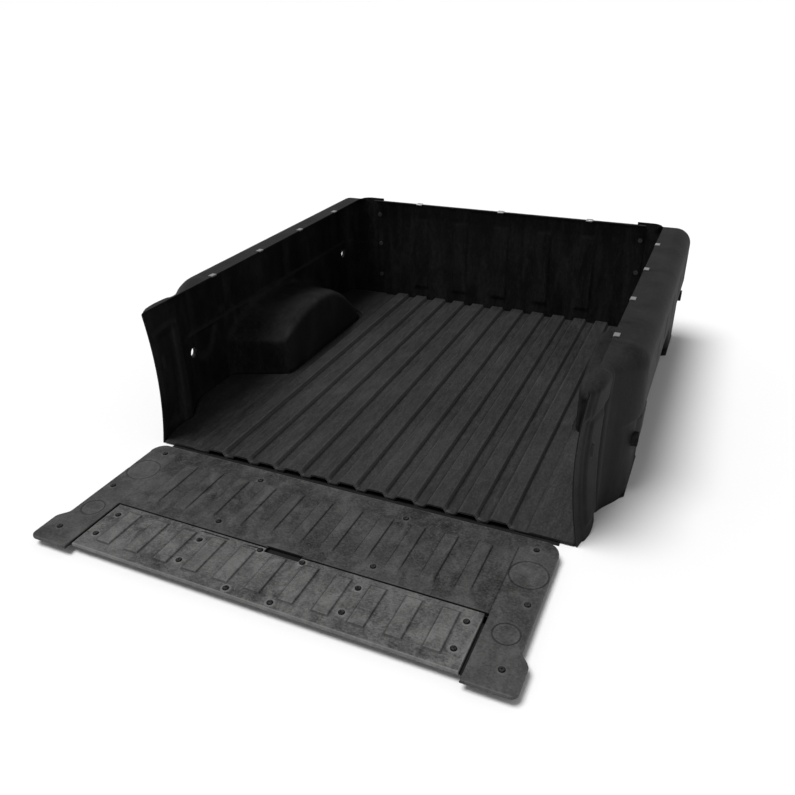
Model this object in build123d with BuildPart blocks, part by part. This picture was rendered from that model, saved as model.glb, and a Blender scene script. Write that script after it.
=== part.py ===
"""Component bed liner for a short-bed pickup with a folding load stop in its tailgate.

The row frame has +X to the passenger side, +Y towards the cab and +Z up. z = 0 is the steel
bed floor. The liner is a loose ribbed floor mat, two side panels with wheelhouse covers, a
front panel locked to them by quarter-turn fasteners, and two panels screwed to the tailgate,
which lies open. The outer one rides on the tailgate's flip-up load stop.
"""
import os

from build123d import *

os.makedirs("parts", exist_ok=True)

# Bed
BED_LENGTH = 1776.0       # tailgate sill to bulkhead, along the floor
BED_HALF = 907.0          # centre line to the upper steel side wall
WHEEL_HALF = 643.0        # centre line to a wheelhouse cover
LINER_TOP = 545.0
LEDGE_HEIGHT = 300.0      # the wall steps back at this height
LEDGE_DEPTH = 14.0
SHEET = 4.0               # thermoformed sheet thickness
TAIL_REACH = 646.0        # sill to the outer end of the open tailgate's panel

SILL = (TAIL_REACH - BED_LENGTH) / 2
FRONT = SILL + BED_LENGTH
LOWER_HALF = BED_HALF - LEDGE_DEPTH

# Floor mat
RIB_PITCH = 110.0
RIB_COUNT = 11
RIB_TOP_HALF = 25.0
RIB_FOOT_HALF = 37.0
MAT_THICK = 9.0
RIB_RISE = 17.0
RIB_TOP = MAT_THICK + RIB_RISE
RIB_WALL = 5.0            # how far the hollow's corners stand in from the rib's
FLANGE_EDGE = 664.0       # inner edge of the side panels' floor flange
BORDER_LIFT = 4.5         # the mat's border passes over that flange

# Front joint
WRAP_BACK = FRONT - 8.0   # cab side of the side panels' wrap across the bulkhead
WRAP_FACE = WRAP_BACK - SHEET
PANEL_BACK = WRAP_FACE - 0.3
PANEL_FACE = PANEL_BACK - SHEET
WRAP_EDGE = 660.0         # free edge of the wrap, out of sight behind the front panel
PANEL_HALF = 700.0
PANEL_FOOT = 14.0
PANEL_RIB_PITCH = 220.0
PANEL_RIB_WIDTH = 90.0
PANEL_RIB_LENGTH = 390.0
PANEL_RIB_MIDDLE = 265.0
PANEL_RIB_RISE = 5.0

# Quarter-turn fasteners and their receptacles
FASTENER_X = 682.0
FASTENER_HEIGHTS = {"low": 124.0, "middle": 300.0, "high": 460.0}
FASTENER_HEAD_R = 11.0
FASTENER_HEAD_THICK = 3.0
HEAD_SLOT_WIDTH = 2.4
HEAD_SLOT_LENGTH = 14.0
HEAD_SLOT_DEPTH = 1.6
STEM_R = 4.0
STEM_BORE_R = 4.05
STEM_END = FRONT - 2.6
WING_LENGTH = 13.0
WING_WIDTH = 3.0
WING_THICK = 2.0
RECEPTACLE_WIDTH = 26.0
RECEPTACLE_HEIGHT = 34.0
RECEPTACLE_DEPTH = 8.0
RECEPTACLE_FLOOR = 2.4    # what the wing pulls against
WING_POCKET_R = 8.0

# Tailgate panels
TG_TOP = 38.0             # top face of the flat sheet
TG_RIM = 12.0             # depth of the turned-down rim
TG_HALF = 768.0
TG_FLARE_HALF = 795.0
TG_BACK = SILL - 52.0
TG_END = SILL - TAIL_REACH
NOTCH_HALF = 648.0        # cut-out that the load stop fills
NOTCH_EDGE = SILL - 406.0
STOP_HALF = 638.5
STOP_INNER = SILL - 409.5
STOP_OUTER = SILL - 625.5
PAD_PITCH = 110.0
PAD_COUNT = 11
PAD_WIDTH = 54.0
PAD_RISE = 3.5
PAD_CORNER_R = 5.0
GATE_PADS = (118.0, 357.0)      # a row's two ends, as distances from the sill
STOP_PADS = (431.0, 587.0)
GATE_CORNER_R = 50.0
STOP_CORNER_R = 6.0
DISC_DEPTH = 1.5
HANDLE_HALF = 60.0
HANDLE_IN_GATE = 5.0            # how far the handle's gap is cut into each panel
HANDLE_IN_STOP = 16.5

# Fixings: pan screw on a cup washer, in an expanding nylon anchor
SCREW_HEAD_R = 8.0
SCREW_HEAD_HEIGHT = 3.2
SCREW_SHANK_R = 2.4
SOCKET_R = 2.6
SOCKET_FLOOR = 1.4        # above the underside of the head
WASHER_R = 9.5
WASHER_THICK = 0.8
WASHER_RIM = 1.2
ANCHOR_FLANGE_R = 9.0
ANCHOR_FLANGE_THICK = 3.0
ANCHOR_R = 5.0
ANCHOR_TIP = 12.0
SCREW_TIP = 24.0
PANEL_HOLE_R = 3.2

TIE_DOWN_R = 22.0
REAR_TIE_DOWN = (SILL + 352, 217)      # Y and height on the side wall
FRONT_TIE_DOWN = (SILL + 1700, 235)
CLIP_STRIP = 1.5
CLIP_WIDTH = 30.0
CLIP_LONG_LEG = 25.0
CLIP_SHORT_LEG = 18.0
RAIL_CLIPS = (SILL + 420, SILL + 760, SILL + 1100, SILL + 1440)     # Y
FRONT_CLIPS = (-440, 0, 440)                                        # X
LIP_EDGE = 780.0          # free edge of the side panels' top lip
FRONT_LIP_EDGE = FRONT - 50.0


def tail(x, y):
    """A point on the tailgate, y measured outwards from the sill."""
    return (x, SILL - y)


def both_sides(points):
    """The points and their mirror images across the centre line."""
    return [(side * x, y) for side in (-1, 1) for x, y in points]


TAILGATE_SCREWS = both_sides(
    [tail(700, 104), tail(276, 115), tail(276, 360), tail(736, 336), tail(736, 577)]
)
STOP_SCREWS = both_sides(
    [tail(602, 459), tail(602, 560), tail(276, 459), tail(276, 560), tail(74, 605), tail(74, 427)]
)


def save(builder, name):
    """Label a finished piece and write its STEP file."""
    builder.part.label = name
    export_step(builder.part, f"parts/{name}.step")


# --- floor mat: one moulded corrugated rubber sheet, hollow under each rib -------------------
def mat_half_profile():
    """Top and bottom outlines of the mat's section from the centre line to the side."""
    top = []
    bottom = []
    for k in range(RIB_COUNT // 2 + 1):
        centre = k * RIB_PITCH
        if k > 0:
            top += [(centre - RIB_FOOT_HALF, MAT_THICK), (centre - RIB_TOP_HALF, RIB_TOP)]
            bottom += [(centre - RIB_FOOT_HALF + RIB_WALL, 0), (centre - RIB_TOP_HALF + RIB_WALL, RIB_RISE)]
        top += [(centre + RIB_TOP_HALF, RIB_TOP), (centre + RIB_FOOT_HALF, MAT_THICK)]
        bottom += [(centre + RIB_TOP_HALF - RIB_WALL, RIB_RISE), (centre + RIB_FOOT_HALF - RIB_WALL, 0)]
    lifted = MAT_THICK + BORDER_LIFT
    top += [(FLANGE_EDGE - 16, MAT_THICK), (FLANGE_EDGE - 8, lifted), (BED_HALF, lifted)]
    bottom += [(FLANGE_EDGE - 9, 0), (FLANGE_EDGE - 4, BORDER_LIFT), (BED_HALF, BORDER_LIFT)]
    return top, bottom


MAT_OUTLINE = [
    (769, SILL),
    (793, SILL + 100),
    (809, SILL + 219),
    (886, SILL + 322),
    (886, SILL + 574),
    (692, SILL + 651),
    (652, SILL + 672),
    (637, SILL + 706),
    (637, SILL + 1396),
    (652, SILL + 1440),
    (692, SILL + 1466),
    (886, SILL + 1584),
    (886, FRONT - 56),
    (850, FRONT - 20),
]

mat_top, mat_bottom = mat_half_profile()
mirrored_top = [(-x, z) for x, z in reversed(mat_top)]
mirrored_bottom = [(-x, z) for x, z in mat_bottom]
with BuildPart() as floor_mat:
    with BuildSketch(Plane.XZ.offset(-FRONT)):
        with BuildLine():
            Polyline(*mirrored_top, *mat_top, *reversed(mat_bottom), *mirrored_bottom, close=True)
        make_face()
    extrude(amount=BED_LENGTH)
    with BuildSketch(Plane.XY):
        with BuildLine():
            Polyline(*MAT_OUTLINE, *[(-x, y) for x, y in reversed(MAT_OUTLINE)], close=True)
        make_face()
    extrude(amount=RIB_TOP + 1, mode=Mode.INTERSECT)
save(floor_mat, "floor_mat")


# --- side panels ---------------------------------------------------------------------------
POST_PATH = [(776, SILL + 2), (800, SILL + 100), (816, SILL + 220)]
POST_TURN = (56, 75)      # direction of the post's slanting front face
CORNER = 30.0             # the wall is cut across the bed's front corner
SHOULDER_ROUND = 70.0
SHOULDER_START = LINER_TOP - SHOULDER_ROUND
CARGO_X = 600.0           # inboard of the whole side panel
FRONT_FLANGE = 1400.0     # the front floor flange starts this far from the sill
FRONT_FLANGE_TRIM = 30.0  # and stands this far in from the lower wall


def post_end(half):
    """Where the post's slanting face reaches the wall at half."""
    last_x, last_y = POST_PATH[-1]
    return (half, last_y + (half - last_x) * POST_TURN[1] / POST_TURN[0])


def wall_path(half):
    """Plan of the steel side of a side panel: rear post, wall, then across the bulkhead."""
    corner = [(half, WRAP_BACK - CORNER), (half - CORNER, WRAP_BACK)]
    return [*POST_PATH, post_end(half), *corner, (WRAP_EDGE, WRAP_BACK)]


def upright_band(points, z_low):
    """Plan of a thin sheet along the points, with its thickness on the cargo side."""
    with BuildSketch(Plane.XY.offset(z_low)) as band:
        with BuildLine():
            Polyline(*points)
            offset(amount=SHEET, side=Side.LEFT)
        make_face()
    return band.sketch


# Side outlines of a wheelhouse cover, as distances from the sill and heights, from the rear
# foot over the arch to the front foot, at its inner face and where it meets the side wall.
ARCH_INNER = [(679, 150), (704, 188), (816, 243), (925, 266), (1030, 270), (1137, 254), (1255, 178), (1357, 78)]
ARCH_WALL = [(582, 175), (640, 222), (735, 262), (850, 280), (990, 281), (1173, 248), (1330, 192), (1469, 122)]
ARCH_FEET_INNER = (676, 1425)
ARCH_FEET_WALL = (579, 1575)
ARCH_MIDDLE = 1052.0
ARCH_DEPTH = 20.0         # the sections run this far below the floor before they are trimmed


def arch_section(x, inset):
    """Section of the wheelhouse cover at x, drawn in from its full outline by inset."""
    t = (x - WHEEL_HALF) / (LOWER_HALF - WHEEL_HALF)
    pairs = zip(ARCH_INNER, ARCH_WALL)
    crown = [(a[0] + t * (b[0] - a[0]), a[1] + t * (b[1] - a[1])) for a, b in pairs]
    rear, front = [a + t * (b - a) for a, b in zip(ARCH_FEET_INNER, ARCH_FEET_WALL)]
    outline = [(rear, -ARCH_DEPTH), *crown, (front, -ARCH_DEPTH)]
    along = 1 - inset / 420
    up = 1 - inset / 275
    points = [
        (SILL + ARCH_MIDDLE + (y - ARCH_MIDDLE) * along, z * up if z > 0 else z)
        for y, z in outline
    ]
    with BuildSketch(Plane.YZ.offset(x)) as section:
        with BuildLine():
            Polyline(*points, close=True)
        make_face()
    return section.sketch


EDGE_ROUNDING = [(0, 42), (7, 22), (21, 8), (47, 0)]   # distance outboard, draw-in
cover_outside = [arch_section(WHEEL_HALF + dx, inset) for dx, inset in EDGE_ROUNDING]
cover_outside.append(arch_section(LOWER_HALF, 0))
cover_inside = [arch_section(WHEEL_HALF + SHEET + dx, inset + SHEET) for dx, inset in EDGE_ROUNDING]
cover_inside.append(arch_section(BED_HALF + 10, SHEET))

# the post and the wrap go on up, under the shoulder
with BuildPart() as upper_ends:
    extrude(upright_band([*POST_PATH, post_end(BED_HALF)], SHOULDER_START), amount=SHOULDER_ROUND)
    with BuildSketch(Plane.XY.offset(SHOULDER_START)):
        with Locations(((BED_HALF - CORNER + WRAP_EDGE) / 2, WRAP_BACK - SHEET / 2)):
            Rectangle(BED_HALF - CORNER - WRAP_EDGE, SHEET)
    extrude(amount=SHOULDER_ROUND)
    with BuildSketch(Plane.XZ.offset(-WRAP_BACK)) as under_shoulder:
        with Locations((CARGO_X, SHOULDER_START)):
            Rectangle(
                BED_HALF - SHEET / 2 - CARGO_X,
                SHOULDER_ROUND - SHEET / 2,
                align=(Align.MIN, Align.MIN),
            )
        outer_corner = under_shoulder.vertices().sort_by(Axis.X)[-2:].sort_by(Axis.Z)[-1]
        fillet(outer_corner, radius=SHOULDER_ROUND - SHEET / 2 - 1)
    extrude(amount=BED_LENGTH, mode=Mode.INTERSECT)

with BuildPart() as right_side_panel:
    extrude(upright_band(wall_path(LOWER_HALF), 0), amount=LEDGE_HEIGHT)
    extrude(upright_band(wall_path(BED_HALF), LEDGE_HEIGHT), amount=SHOULDER_START - LEDGE_HEIGHT)
    add(upper_ends.part)
    # ledge where the wall steps back
    with BuildSketch(Plane.XY.offset(LEDGE_HEIGHT - SHEET)):
        with BuildLine():
            Polyline(
                (LOWER_HALF - SHEET, post_end(LOWER_HALF)[1] + SHEET),
                post_end(LOWER_HALF),
                post_end(BED_HALF),
                (BED_HALF, WRAP_BACK - CORNER),
                (BED_HALF - CORNER, WRAP_BACK),
                (LOWER_HALF - CORNER, WRAP_BACK),
                (LOWER_HALF - SHEET, WRAP_BACK - CORNER),
                close=True,
            )
        make_face()
    extrude(amount=SHEET)
    # shoulder that curls in under the bed rail
    with BuildSketch(Plane.XZ.offset(-WRAP_BACK)):
        with BuildLine():
            FilletPolyline(
                (BED_HALF, SHOULDER_START - 6),
                (BED_HALF, LINER_TOP),
                (LIP_EDGE, LINER_TOP),
                radius=SHOULDER_ROUND - 1,
            )
            offset(amount=SHEET, side=Side.LEFT)
        make_face()
    extrude(amount=WRAP_BACK - SILL - 12)
    # floor flanges behind and in front of the wheelhouse
    with BuildSketch(Plane.XY):
        with BuildLine():
            Polyline(
                (774, SILL + 4),
                (798, SILL + 100),
                (814, SILL + 221),
                (LOWER_HALF - 2, SILL + 325),
                (LOWER_HALF - 2, SILL + 700),
                (FLANGE_EDGE, SILL + 700),
                (FLANGE_EDGE, SILL + 4),
                close=True,
            )
        make_face()
        flange_x = (FLANGE_EDGE, LOWER_HALF - FRONT_FLANGE_TRIM)
        flange_y = (SILL + FRONT_FLANGE, WRAP_BACK - 2)
        with Locations((sum(flange_x) / 2, sum(flange_y) / 2)):
            Rectangle(flange_x[1] - flange_x[0], flange_y[1] - flange_y[0])
    extrude(amount=SHEET)
    # wheelhouse cover, hollow over the steel wheelhouse
    loft(cover_outside, ruled=True)
    with Locations((WHEEL_HALF + 150, SILL + ARCH_MIDDLE, -ARCH_DEPTH)):
        Box(500, 1200, 2 * ARCH_DEPTH, mode=Mode.SUBTRACT)
    loft(cover_inside, ruled=True, mode=Mode.SUBTRACT)
    # holes over the bed's tie-downs
    for y, z in (REAR_TIE_DOWN, FRONT_TIE_DOWN):
        with Locations(Plane((LOWER_HALF, y, z), z_dir=(1, 0, 0))):
            Cylinder(TIE_DOWN_R, 4 * SHEET, mode=Mode.SUBTRACT)
    # holes for the quarter-turn stems
    for height in FASTENER_HEIGHTS.values():
        with Locations(Plane((FASTENER_X, WRAP_BACK, height), z_dir=(0, 1, 0))):
            Cylinder(STEM_BORE_R, 4 * SHEET, mode=Mode.SUBTRACT)
save(right_side_panel, "right_side_panel")

with BuildPart() as left_side_panel:
    add(mirror(right_side_panel.part, about=Plane.YZ))
save(left_side_panel, "left_side_panel")


# --- front panel: ribbed sheet in front of the bulkhead, with a lip under its cap ------------
PANEL_RIBS = [k * PANEL_RIB_PITCH for k in range(-2, 3)]
with BuildPart() as front_panel:
    with BuildSketch(Plane.XZ.offset(-PANEL_BACK)):
        with Locations((0, (PANEL_FOOT + LINER_TOP - SHEET) / 2)):
            Rectangle(2 * PANEL_HALF, LINER_TOP - SHEET - PANEL_FOOT)
    extrude(amount=SHEET)
    with BuildSketch(Plane.XY.offset(LINER_TOP - 2 * SHEET)):
        with Locations((0, (FRONT_LIP_EDGE + PANEL_BACK) / 2)):
            Rectangle(2 * PANEL_HALF, PANEL_BACK - FRONT_LIP_EDGE)
    extrude(amount=SHEET)
    with BuildSketch(Plane.XZ.offset(-PANEL_FACE)):
        with Locations(*[(x, PANEL_RIB_MIDDLE) for x in PANEL_RIBS]):
            RectangleRounded(PANEL_RIB_WIDTH, PANEL_RIB_LENGTH, 20)
    extrude(amount=PANEL_RIB_RISE, taper=40)
    for side in (-1, 1):
        for height in FASTENER_HEIGHTS.values():
            with Locations(Plane((side * FASTENER_X, PANEL_BACK, height), z_dir=(0, 1, 0))):
                Cylinder(STEM_BORE_R, 4 * SHEET, mode=Mode.SUBTRACT)
save(front_panel, "front_panel")


# --- quarter-turn fasteners and their receptacles --------------------------------------------
def along_y(x, y, z):
    """A plane at the point whose normal looks towards the cab."""
    return Plane((x, y, z), x_dir=(1, 0, 0), z_dir=(0, 1, 0))


def quarter_turn(x, z):
    """Slotted head, stem through both sheets, and the cross wing that locks behind them."""
    with BuildPart() as fastener:
        with BuildSketch(along_y(x, PANEL_FACE - FASTENER_HEAD_THICK, z)):
            Circle(FASTENER_HEAD_R)
        extrude(amount=FASTENER_HEAD_THICK)
        fillet(fastener.edges().group_by(Axis.Y)[0], radius=1.2)
        with BuildSketch(along_y(x, PANEL_FACE - FASTENER_HEAD_THICK, z)):
            Rectangle(HEAD_SLOT_WIDTH, HEAD_SLOT_LENGTH)
        extrude(amount=HEAD_SLOT_DEPTH, mode=Mode.SUBTRACT)
        with BuildSketch(along_y(x, PANEL_FACE, z)):
            Circle(STEM_R)
        extrude(amount=STEM_END - PANEL_FACE)
        with BuildSketch(along_y(x, STEM_END - WING_THICK, z)):
            Rectangle(WING_LENGTH, WING_WIDTH)
        extrude(amount=WING_THICK)
    return fastener


for side, side_name in ((-1, "left"), (1, "right")):
    for level, height in FASTENER_HEIGHTS.items():
        save(quarter_turn(side * FASTENER_X, height), f"{side_name}_fastener_{level}")

for side, side_name in ((-1, "left"), (1, "right")):
    x = side * FASTENER_X
    with BuildPart() as receptacles:
        for height in FASTENER_HEIGHTS.values():
            with BuildSketch(along_y(x, WRAP_BACK, height)):
                RectangleRounded(RECEPTACLE_WIDTH, RECEPTACLE_HEIGHT, 6)
                Circle(STEM_BORE_R, mode=Mode.SUBTRACT)
            extrude(amount=RECEPTACLE_DEPTH)
            with BuildSketch(along_y(x, WRAP_BACK + RECEPTACLE_FLOOR, height)):
                Circle(WING_POCKET_R)
            extrude(amount=RECEPTACLE_DEPTH, mode=Mode.SUBTRACT)
    save(receptacles, f"{side_name}_corner_receptacles")


# --- spring clips pushed on to the top lips ---------------------------------------------------
def clip_section():
    """Open U of spring strip, drawn on its lip's edge: the lip enters along +x, centred on y."""
    half = SHEET / 2
    return [(CLIP_LONG_LEG, half), (0, half), (0, -half), (CLIP_SHORT_LEG, -half)]


for side, side_name in ((-1, "left"), (1, "right")):
    with BuildPart() as rail_clips:
        for y in RAIL_CLIPS:
            edge = Plane(
                (side * LIP_EDGE, y - side * CLIP_WIDTH / 2, LINER_TOP - SHEET / 2),
                x_dir=(side, 0, 0),
                z_dir=(0, side, 0),
            )
            with BuildSketch(edge):
                with BuildLine():
                    Polyline(*clip_section())
                    offset(amount=CLIP_STRIP, side=Side.RIGHT)
                make_face()
            extrude(amount=CLIP_WIDTH)
    save(rail_clips, f"{side_name}_rail_clips")

with BuildPart() as front_rail_clips:
    for x in FRONT_CLIPS:
        edge = Plane(
            (x - CLIP_WIDTH / 2, FRONT_LIP_EDGE, LINER_TOP - 1.5 * SHEET),
            x_dir=(0, 1, 0),
            z_dir=(1, 0, 0),
        )
        with BuildSketch(edge):
            with BuildLine():
                Polyline(*clip_section())
                offset(amount=CLIP_STRIP, side=Side.RIGHT)
            make_face()
        extrude(amount=CLIP_WIDTH)
save(front_rail_clips, "front_rail_clips")


# --- tailgate panel: a U-shaped sheet with a turned-down rim -----------------------------------
TAILGATE_OUTLINE = [
    (NOTCH_HALF, NOTCH_EDGE),
    (NOTCH_HALF, TG_END),
    (TG_FLARE_HALF, TG_END),
    (TG_FLARE_HALF, SILL - 540),
    (TG_HALF, SILL - 500),
    (TG_HALF, TG_BACK),
]
ARM_DISCS = [(707.0, 215.0, 58.0), (712.0, 457.0, 38.0)]   # X, distance from the sill, radius


def tailgate_plan(inset):
    """The tailgate panel's outline, drawn in by inset all round."""
    with BuildSketch(Plane.XY.offset(TG_TOP - TG_RIM)) as plan:
        with BuildLine():
            Polyline(*TAILGATE_OUTLINE, *[(-x, y) for x, y in reversed(TAILGATE_OUTLINE)], close=True)
        make_face()
        back_corners = plan.vertices().group_by(Axis.Y)[-1]
        fillet(back_corners, radius=GATE_CORNER_R)
        if inset > 0:
            offset(amount=-inset, kind=Kind.INTERSECTION)
    return plan.sketch


def pad_plan(y_near, y_far):
    """The row of raised pads between two distances from the sill."""
    with BuildSketch(Plane.XY.offset(TG_TOP)) as pads:
        with Locations((0, SILL - (y_near + y_far) / 2)):
            with GridLocations(PAD_PITCH, 1, PAD_COUNT, 1):
                RectangleRounded(PAD_WIDTH, y_far - y_near, PAD_CORNER_R)
    return pads.sketch


with BuildPart() as tailgate_panel:
    extrude(tailgate_plan(0), amount=TG_RIM)
    extrude(tailgate_plan(SHEET), amount=TG_RIM - SHEET, mode=Mode.SUBTRACT)
    extrude(pad_plan(*GATE_PADS), amount=PAD_RISE, taper=45)
    for disc_x, disc_y, disc_r in ARM_DISCS:
        with BuildSketch(Plane.XY.offset(TG_TOP - DISC_DEPTH)):
            with Locations(*both_sides([tail(disc_x, disc_y)])):
                Circle(disc_r)
        extrude(amount=2 * DISC_DEPTH, mode=Mode.SUBTRACT)
    with BuildSketch(Plane.XY.offset(TG_TOP - TG_RIM)):
        with Locations((0, NOTCH_EDGE)):
            Rectangle(2 * HANDLE_HALF, 2 * HANDLE_IN_GATE)
        with Locations(*TAILGATE_SCREWS):
            Circle(PANEL_HOLE_R)
    extrude(amount=2 * TG_RIM, mode=Mode.SUBTRACT)
save(tailgate_panel, "tailgate_panel")

with BuildPart() as load_stop_panel:
    with BuildSketch(Plane.XY.offset(TG_TOP - TG_RIM)):
        with Locations((0, (STOP_INNER + STOP_OUTER) / 2)):
            RectangleRounded(2 * STOP_HALF, STOP_INNER - STOP_OUTER, STOP_CORNER_R)
        with Locations((0, STOP_INNER)):
            Rectangle(2 * HANDLE_HALF, 2 * HANDLE_IN_STOP, mode=Mode.SUBTRACT)
    extrude(amount=TG_RIM)
    with BuildSketch(Plane.XY.offset(TG_TOP - TG_RIM)):
        with Locations((0, (STOP_INNER + STOP_OUTER) / 2)):
            Rectangle(2 * STOP_HALF - 2 * SHEET, STOP_INNER - STOP_OUTER - 2 * SHEET)
        with Locations((0, STOP_INNER)):
            Rectangle(2 * (HANDLE_HALF + SHEET), 2 * (HANDLE_IN_STOP + SHEET), mode=Mode.SUBTRACT)
    extrude(amount=TG_RIM - SHEET, mode=Mode.SUBTRACT)
    extrude(pad_plan(*STOP_PADS), amount=PAD_RISE, taper=45)
    with BuildSketch(Plane.XY.offset(TG_TOP - TG_RIM)):
        with Locations(*STOP_SCREWS):
            Circle(PANEL_HOLE_R)
    extrude(amount=2 * TG_RIM, mode=Mode.SUBTRACT)
save(load_stop_panel, "load_stop_panel")


# --- screws, cup washers and anchors of both tailgate panels -----------------------------------
def screw_set(places):
    """Pan-head screws with a hexagon socket."""
    head_base = TG_TOP + WASHER_THICK
    with BuildPart() as screws:
        for x, y in places:
            with BuildSketch(Plane.XY.offset(head_base)):
                with Locations((x, y)):
                    Circle(SCREW_HEAD_R)
            extrude(amount=SCREW_HEAD_HEIGHT, taper=18)
            with BuildSketch(Plane.XY.offset(head_base + SOCKET_FLOOR)):
                with Locations((x, y)):
                    RegularPolygon(SOCKET_R, 6)
            extrude(amount=SCREW_HEAD_HEIGHT, mode=Mode.SUBTRACT)
            with BuildSketch(Plane.XY.offset(SCREW_TIP)):
                with Locations((x, y)):
                    Circle(SCREW_SHANK_R)
            extrude(amount=head_base - SCREW_TIP)
    return screws


def washer_set(places):
    """Flat-bottomed washers with an upstanding rim round the screw head."""
    with BuildPart() as washers:
        for x, y in places:
            with BuildSketch(Plane.XY.offset(TG_TOP)):
                with Locations((x, y)):
                    Circle(WASHER_R)
                    Circle(SCREW_SHANK_R + 0.3, mode=Mode.SUBTRACT)
            extrude(amount=WASHER_THICK)
            with BuildSketch(Plane.XY.offset(TG_TOP + WASHER_THICK)):
                with Locations((x, y)):
                    Circle(WASHER_R)
                    Circle(SCREW_HEAD_R + 0.4, mode=Mode.SUBTRACT)
            extrude(amount=WASHER_RIM)
    return washers


def anchor_set(places):
    """Nylon anchors: a flange under the sheet and a blind plug that grips the tailgate's steel."""
    flange_base = TG_TOP - SHEET - ANCHOR_FLANGE_THICK
    with BuildPart() as anchors:
        for x, y in places:
            with BuildSketch(Plane.XY.offset(flange_base)):
                with Locations((x, y)):
                    Circle(ANCHOR_FLANGE_R)
            extrude(amount=ANCHOR_FLANGE_THICK)
            with BuildSketch(Plane.XY.offset(ANCHOR_TIP)):
                with Locations((x, y)):
                    Circle(ANCHOR_R)
            extrude(amount=flange_base - ANCHOR_TIP)
            with BuildSketch(Plane.XY.offset(SCREW_TIP)):
                with Locations((x, y)):
                    Circle(SCREW_SHANK_R + 0.1)
            extrude(amount=TG_TOP - SCREW_TIP, mode=Mode.SUBTRACT)
    return anchors


for prefix, places in (("tailgate", TAILGATE_SCREWS), ("load_stop", STOP_SCREWS)):
    save(screw_set(places), f"{prefix}_screws")
    save(washer_set(places), f"{prefix}_cup_washers")
    save(anchor_set(places), f"{prefix}_anchors")
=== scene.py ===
"""Looks for the pickup bed liner: moulded rubber mat, thermoformed side, front and tailgate panels.

Lengths are metres in the row frame: +X to the passenger side, +Y towards the cab, z = 0 on the bed
floor. The letter d in a name is a distance from the tailgate sill, positive towards the cab.
"""

import math

import bmesh
import bpy
import numpy as np
from mathutils import Matrix, Vector


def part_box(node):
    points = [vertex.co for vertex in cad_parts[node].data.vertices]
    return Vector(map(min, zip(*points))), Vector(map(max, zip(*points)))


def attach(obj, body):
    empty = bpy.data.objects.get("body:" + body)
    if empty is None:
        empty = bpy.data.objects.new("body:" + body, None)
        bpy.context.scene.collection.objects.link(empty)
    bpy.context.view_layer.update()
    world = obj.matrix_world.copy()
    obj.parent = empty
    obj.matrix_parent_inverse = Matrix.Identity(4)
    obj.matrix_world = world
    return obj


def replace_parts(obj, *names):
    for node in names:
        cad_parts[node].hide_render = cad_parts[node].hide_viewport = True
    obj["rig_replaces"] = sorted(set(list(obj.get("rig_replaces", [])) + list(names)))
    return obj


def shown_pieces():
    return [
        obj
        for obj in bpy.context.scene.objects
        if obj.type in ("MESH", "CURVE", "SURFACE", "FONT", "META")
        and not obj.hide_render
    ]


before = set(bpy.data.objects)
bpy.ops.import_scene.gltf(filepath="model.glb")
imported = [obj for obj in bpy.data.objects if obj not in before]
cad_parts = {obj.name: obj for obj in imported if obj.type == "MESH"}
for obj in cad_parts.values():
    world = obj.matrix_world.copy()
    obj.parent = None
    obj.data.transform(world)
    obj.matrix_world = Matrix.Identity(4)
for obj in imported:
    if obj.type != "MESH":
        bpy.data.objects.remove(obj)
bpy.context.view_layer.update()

# ---------------------------------------------------------------- sizes taken from the CAD frame
side_low, side_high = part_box("right_side_panel")
gate_low, gate_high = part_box("tailgate_panel")
stop_low, stop_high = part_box("load_stop_panel")
front_low, front_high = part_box("front_panel")

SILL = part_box("floor_mat")[0].y
SHEET = 0.004              # thickness of the side and front panels
WRAP_FACE = side_high.y - SHEET
WHEEL_X = side_low.x       # inner face of the wheelhouse cover
TOP = side_high.z


def behind_sill(y):
    """How far a place on the open tailgate lies behind the sill."""
    return round(SILL - y, 4)


# ---------------------------------------------------------------- small maths


def ease(t):
    """0 below 0, 1 above 1, and a smooth step between."""
    t = np.clip(t, 0.0, 1.0)
    return t * t * (3 - 2 * t)


def stripe(t, middle, half, blend):
    """1 on a stripe of t, fading to 0 over blend inside its two edges."""
    return ease((half - np.abs(t - middle)) / blend)


def between(t, start, end, blend):
    """1 between two values of t, fading to 0 over blend inside them."""
    return ease((t - start) / blend) * ease((end - t) / blend)


def fillet_min(a, b, radius):
    """The smaller of two distances, with a concave fillet where they meet."""
    corner = np.hypot(np.maximum(radius - a, 0), np.maximum(radius - b, 0))
    return np.maximum(radius, np.minimum(a, b)) - corner


def round_max(a, b, radius):
    """The larger of two distances, with a convex rounding where they meet."""
    corner = np.hypot(np.maximum(radius + a, 0), np.maximum(radius + b, 0))
    return np.minimum(-radius, np.maximum(a, b)) + corner


def soft_line(points, blur):
    """A smooth curve near a polyline: a function of the first coordinate."""
    first, last = points[0][0], points[-1][0]
    step = 0.002
    t = np.arange(first - 4 * blur, last + 4 * blur, step)
    line = np.interp(t, *zip(*points))
    # keep the end slopes going, so that the blur doesn't flatten the ends
    for end, other in ((0, 1), (-1, -2)):
        slope = (points[end][1] - points[other][1]) / (points[end][0] - points[other][0])
        beyond = t < first if end == 0 else t > last
        line[beyond] = points[end][1] + slope * (t[beyond] - points[end][0])
    half = int(3 * blur / step)
    kernel = np.exp(-0.5 * (np.arange(-half, half + 1) * step / blur) ** 2)
    soft = np.convolve(np.pad(line, half, mode="edge"), kernel / kernel.sum(), mode="valid")
    return lambda x: np.interp(x, t, soft)


def wave_noise(u, v, seed, waves=5):
    """Gentle repeatable unevenness between about -1 and 1."""
    rng = np.random.default_rng(seed)
    total = np.zeros(np.broadcast(u, v).shape)
    for _ in range(waves):
        a, b, phase = rng.uniform(-1, 1), rng.uniform(-1, 1), rng.uniform(0, 2 * math.pi)
        total += np.sin(a * u + b * v + phase)
    return total / waves * 1.4


# ---------------------------------------------------------------- meshes


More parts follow.
